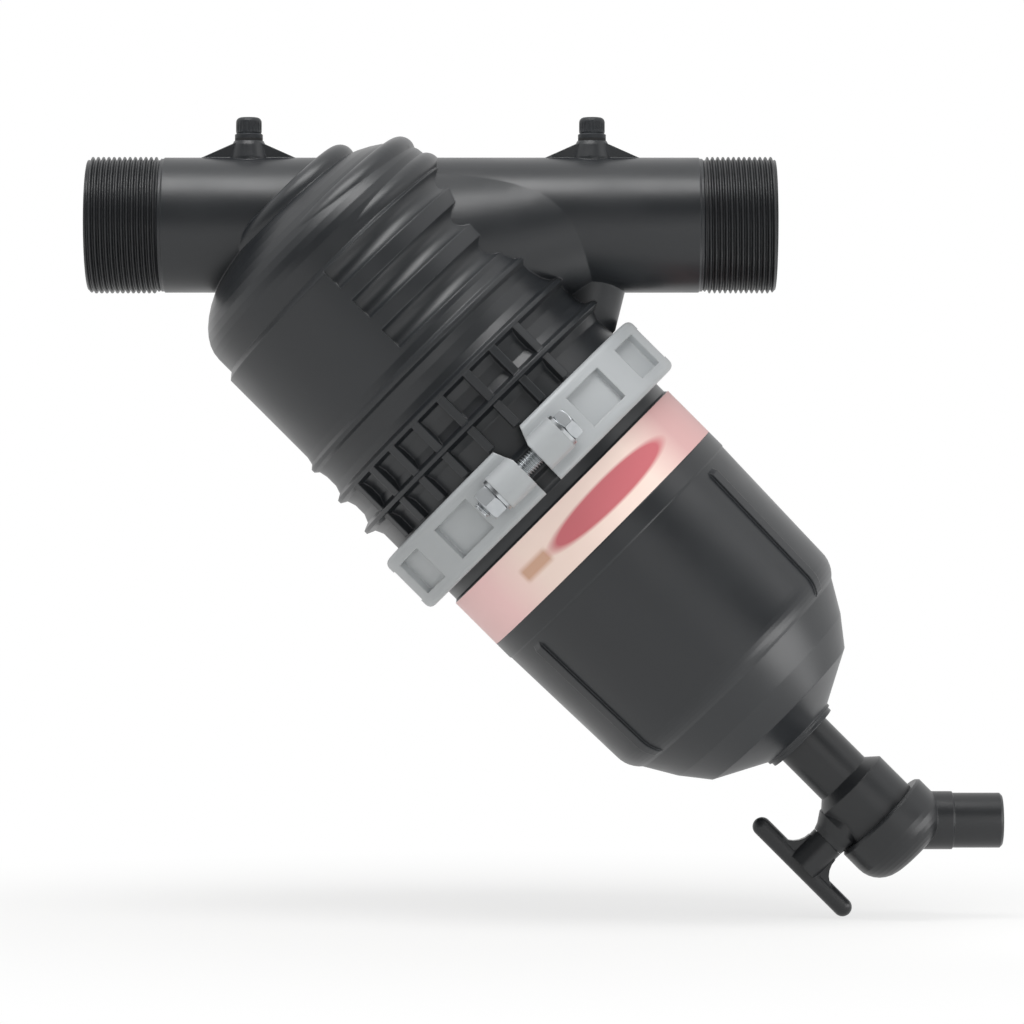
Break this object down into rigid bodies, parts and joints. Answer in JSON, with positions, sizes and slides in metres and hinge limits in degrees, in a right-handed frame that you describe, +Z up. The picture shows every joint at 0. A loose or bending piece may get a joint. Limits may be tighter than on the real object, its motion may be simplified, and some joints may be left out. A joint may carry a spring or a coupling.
{
  "type": "irrigation disc filter",
  "caption": "Y-pattern irrigation disc filter: threaded pipe, slanted leg with a disc cartridge, clamped cover, capped test ports and a drain ball valve with a T-handle.",
  "frame": {"origin": "on the pipe's axis where the outlet's full thread starts, 1.5 mm inside the end face", "axes": "+X along the pipe from the outlet to the inlet, +Z up, the leg slants down in the XZ plane, -Y is the front"},
  "size_m": [0.3991, 0.1769, 0.3493],
  "materials": {
    "body_nylon": "moulded glass-filled nylon, satin",
    "cover_nylon": "moulded glass-filled nylon, satin",
    "clamp_nylon": "moulded grey nylon, satin",
    "label_film": "printed film, pale pink with a red field",
    "cap_plastic": "moulded plastic, satin",
    "spine_plastic": "moulded plastic",
    "disc_plastic": "moulded grooved discs",
    "valve_plastic": "moulded plastic, satin",
    "handle_plastic": "moulded plastic, satin",
    "ball_plastic": "moulded acetal",
    "seat_plastic": "white seat ring",
    "seal_rubber": "moulded rubber",
    "zinc_steel": "zinc-plated steel",
    "spring_steel": "drawn stainless wire"
  },
  "bodies": {
    "housing": {"body": "body_nylon", "cover": "cover_nylon", "cover_seal": "seal_rubber", "label_band": "label_film", "clamp_lower_half": "clamp_nylon", "clamp_upper_half": "clamp_nylon", "clamp_hinge_pin": "zinc_steel", "clamp_bolt": "zinc_steel", "clamp_nut": "zinc_steel", "clamp_washers": "zinc_steel", "outlet_test_cap": "cap_plastic", "inlet_test_cap": "cap_plastic", "outlet_test_seal": "seal_rubber", "inlet_test_seal": "seal_rubber", "cartridge_spine": "spine_plastic", "cartridge_seal": "seal_rubber", "filter_discs": "disc_plastic", "pressure_plate": "spine_plastic", "cartridge_spring": "spring_steel", "cartridge_nut": "spine_plastic", "valve_body": "valve_plastic", "valve_inlet_seat": "seat_plastic", "valve_outlet_seat": "seat_plastic", "valve_elbow": "valve_plastic"},
    "drain_handle": {"valve_handle": "handle_plastic", "valve_stem": "ball_plastic", "valve_ball": "ball_plastic", "stem_seal": "seal_rubber"}
  },
  "joints": [
    {"name": "drain_valve_turn", "type": "hinge", "parent": "housing", "child": "drain_handle", "pos_m": [0.33872, 0, -0.25222], "axis": [-0.7071, 0, -0.7071], "range_deg": [0, 90]}
  ]
}
